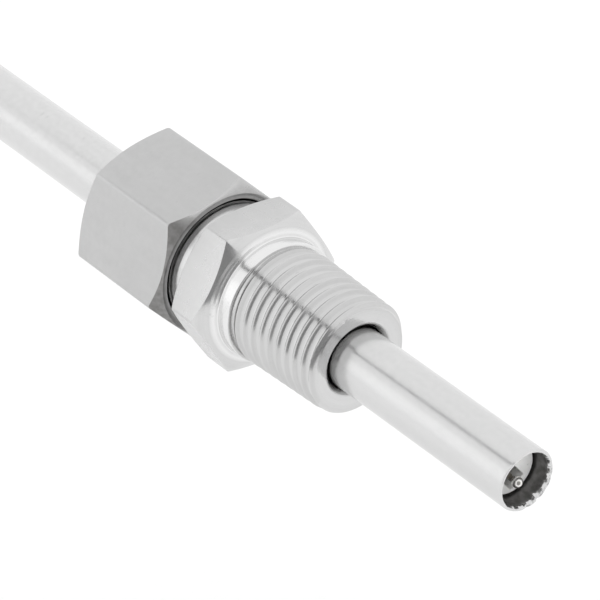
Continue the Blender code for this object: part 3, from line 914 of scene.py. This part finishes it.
def tube_section(angle):
    tip = TUBE_TIP - rim_cut(angle)
    rough_side = 0.5 + 0.5 * math.cos(angle - math.radians(-55))    # the saw broke out here
    torn = rough_side * (0.24 + wobble(angle, (5, 0.06, 0.3), (13, 0.06, 2.0), (23, 0.05, 0.9),
                                      (47, 0.05, 0.2)))
    torn = max(0.04, torn)
    lip = 0.05 + 0.04 * rough_side * math.sin(17 * angle)
    return rounded([
        (tip, TUBE_R - 0.10, 0.05),
        (tip - 0.16, TUBE_R, 0.08, 0.6),
        (TUBE_REAR + 0.15, TUBE_R, 0.05),
        (TUBE_REAR, TUBE_R - 0.12, 0.05),
        (TUBE_REAR, TUBE_BORE_R + 0.05, 0.03),
        # Painted shade: the bore is darkened from the rear to just inside the rim, standing in for
        # the shade inside the tube.
        (TUBE_REAR + 0.1, TUBE_BORE_R, 0, 0.0, 0.6),
        (tip - 3.2, TUBE_BORE_R, 0, 0.0, 1.0),
        (tip - 0.45 - 1.2 * torn, TUBE_BORE_R, 0, 0.0, 1.0),
        (tip - 0.25 - 1.1 * torn, TUBE_BORE_R - 0.01, 0, 0.0, 0.8),
        (tip - 0.12 - torn, TUBE_BORE_R - lip, 0, 0.8, 0.0),
        (tip - 0.04, TUBE_BORE_R + 0.02 + 0.4 * torn, 0.03),
    ])


tube = lofted("sheath", tube_section, even_angles(288), tube_steel)
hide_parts("sheath_tube")
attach(tube, "probe")
print("Sheath:", round(TUBE_TIP - TUBE_REAR, 1), "mm long")

# %% [markdown]
# ## The hot junction
#
# Inside the mouth a ceramic disc closes the stack of insulators. A window in it lets the two wires
# out to their weld, a small bead with a crater where the arc went out. The disc is drawn as a flat
# curve with a hole, which Blender fills and thickens, so its edges take a true bevel.

# %% Tip disc
DISC_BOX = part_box("tip_disc")
DISC_FACE, DISC_BACK = DISC_BOX[1][0] / MM, DISC_BOX[0][0] / MM
DISC_R = 2.8
WINDOW_ROLL = math.radians(-52)
WINDOW_SIZE = (3.2, 2.2)
WINDOW_OFFSET = (0.45, 0.50)
DISC_BEVEL = 0.07


def curve_loop(curve, points):
    line = curve.splines.new("POLY")
    line.points.add(len(points) - 1)
    for spot, (u, v) in zip(line.points, points):
        spot.co = (u, v, 0, 1)
    line.use_cyclic_u = True


def window_outline():
    """The window's rounded rectangle, as (across, up) seen from the tip, in millimetres."""
    long_half, short_half = WINDOW_SIZE[0] / 2, WINDOW_SIZE[1] / 2
    corner, points = 0.25, []
    for quarter, (su, sv) in enumerate(((1, 1), (-1, 1), (-1, -1), (1, -1))):
        for step in range(5):
            turn = math.pi / 2 * (quarter + step / 4)
            points.append((WINDOW_OFFSET[0] + su * (long_half - corner) + corner * math.cos(turn),
                           WINDOW_OFFSET[1] + sv * (short_half - corner) + corner * math.sin(turn)))
    return points


outline = bpy.data.curves.new("tip_plate", "CURVE")
outline.dimensions = "2D"
outline.fill_mode = "BOTH"
trim = DISC_R - DISC_BEVEL
curve_loop(outline, [(trim * math.cos(a) * MM, trim * math.sin(a) * MM) for a in even_angles(72)])
curve_loop(outline, [(u * MM, v * MM) for u, v in window_outline()])
outline.extrude = (DISC_FACE - DISC_BACK) / 2 * MM - DISC_BEVEL * MM
outline.bevel_depth = DISC_BEVEL * MM
outline.bevel_resolution = 2
drawn = bpy.data.objects.new("tip_plate_curve", outline)
scene.collection.objects.link(drawn)
bpy.context.view_layer.update()
flat = bpy.data.meshes.new_from_object(drawn.evaluated_get(bpy.context.evaluated_depsgraph_get()))
bpy.data.objects.remove(drawn)
plate = bmesh.new()
plate.from_mesh(flat)
bpy.data.meshes.remove(flat)
bmesh.ops.remove_doubles(plate, verts=plate.verts, dist=1e-6)
# The curve lies in X and Y. Its X becomes the window's long direction, and its Y the short one.
long_way, short_way = across(WINDOW_ROLL), across(WINDOW_ROLL - math.pi / 2)
middle = Vector(((DISC_FACE + DISC_BACK) / 2 * MM, 0, 0))
for v in plate.verts:
    v.co = middle + v.co.x * long_way + v.co.y * short_way + Vector((v.co.z, 0, 0))
disc = finished("tip_plate", plate, lightened_alumina, smooth_angle=30)
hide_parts("tip_disc")
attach(disc, "probe")
print("Tip disc:", len(disc.data.polygons), "faces")

# %% Bead
BEAD_R = 0.625
BEAD_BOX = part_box("junction_bead")
bead_centre = (Vector(BEAD_BOX[0]) + Vector(BEAD_BOX[1])) / 2


def bead_profile():
    """Half a ball with a shallow crater, as (x, r)."""
    pit = 0.34 * BEAD_R
    points = [(-BEAD_R, 0.0, 0.0, 0.0)]
    for degrees in range(10, 156, 8):
        a = math.radians(degrees)
        points.append((-BEAD_R * math.cos(a), BEAD_R * math.sin(a), 0.0, 0.0))
    rim = math.sqrt(BEAD_R ** 2 - pit ** 2)
    # Painted shade: the crater's floor is darkened, standing in for the shade in the pit.
    points += [(rim, pit, 0.6, 0.0), (rim - 0.12, pit * 0.75, 0.0, 0.2),
               (rim - 0.26, pit * 0.4, 0.0, 0.6), (rim - 0.28, 0.0, 0.0, 0.6)]
    return points


bead = lofted("bead", lambda a: bead_profile(), even_angles(32), bead_metal, 60)
bead.data.transform(Matrix.Rotation(math.radians(-22), 4, "Y"))
bead.data.transform(Matrix.Rotation(math.radians(-22), 4, "Z"))
bead.data.transform(Matrix.Translation(bead_centre))
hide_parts("junction_bead")
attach(bead, "probe")
print("Bead at", [round(v, 4) for v in bead_centre])

# %% [markdown]
# ## The rear end
#
# A steel sleeve is crimped over the end of the sheath and covers the splices to the lead. A rubber
# inlet closes it. The lead itself isn't fitted, so the inlet's hole is open.

# %% Sleeve and cable inlet
SLEEVE_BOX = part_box("transition_sleeve")
SLEEVE_FRONT, SLEEVE_REAR = SLEEVE_BOX[1][0] / MM, SLEEVE_BOX[0][0] / MM
SLEEVE_R, SLEEVE_BORE_R = 4.7, 3.8
sleeve_corners = [(SLEEVE_FRONT, SLEEVE_BORE_R, 0.10), (SLEEVE_FRONT, SLEEVE_R - 0.3, 0.10),
                  (SLEEVE_FRONT - 0.3, SLEEVE_R, 0.15)]
for place in (3.0, 6.5):
    middle_x = SLEEVE_FRONT - place
    for step, drop in ((0.8, 0.0), (0.4, 0.3), (-0.4, 0.3), (-0.8, 0.0)):
        sleeve_corners.append((middle_x + step, SLEEVE_R - drop, 0.25, 0.3))
sleeve_corners += [(SLEEVE_REAR, SLEEVE_R, 0.12), (SLEEVE_REAR, SLEEVE_BORE_R, 0.10)]
sleeve = lofted("rear_sleeve", lambda a: rounded(sleeve_corners), even_angles(120), sleeve_steel)
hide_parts("transition_sleeve")
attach(sleeve, "probe")

INLET_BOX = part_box("cable_inlet")
INLET_FRONT, INLET_REAR = INLET_BOX[1][0] / MM, INLET_BOX[0][0] / MM
INLET_BORE_R = 1.8
lip = SLEEVE_REAR - 0.3
inlet = lofted("inlet_bush", lambda a: rounded([
    (INLET_FRONT, INLET_BORE_R, 0.2),
    (INLET_FRONT, SLEEVE_BORE_R - 0.3, 0.2),
    (lip, SLEEVE_BORE_R - 0.3, 0),
    (lip, SLEEVE_R, 0.15),
    (INLET_REAR + 0.6, SLEEVE_R, 0.5),
    (INLET_REAR, SLEEVE_R - 0.6, 0.5),
    (INLET_REAR, INLET_BORE_R + 0.3, 0.3),
    (INLET_REAR + 0.3, INLET_BORE_R, 0.3),
]), even_angles(96), rubber)
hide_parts("cable_inlet")
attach(inlet, "probe")
print("Sleeve from", round(SLEEVE_REAR, 1), "to", round(SLEEVE_FRONT, 1), "mm")

# %% [markdown]
# ## The pieces out of sight
#
# Wires, insulators, splices, sleeving and the seal have their true shape in the CAD model, so they
# stay, and only take their finish.

# %% Finishes of the hidden pieces
hidden = {"positive_wire": dark_wire, "negative_wire": pale_wire, "rear_seal": cement,
          "positive_splice": tin, "negative_splice": tin,
          "positive_sleeving": sleeving, "negative_sleeving": sleeving}
hidden.update({f"insulator_{i}": alumina for i in range(1, 5)})
hidden["insulator_1"] = dark_alumina
for node, mat in hidden.items():
    shown = frame["nodes"][node]
    for slot in shown.material_slots:
        slot.material = mat
    if not shown.material_slots:
        shown.data.materials.append(mat)
print("Finished", len(hidden), "pieces that stay as they are")
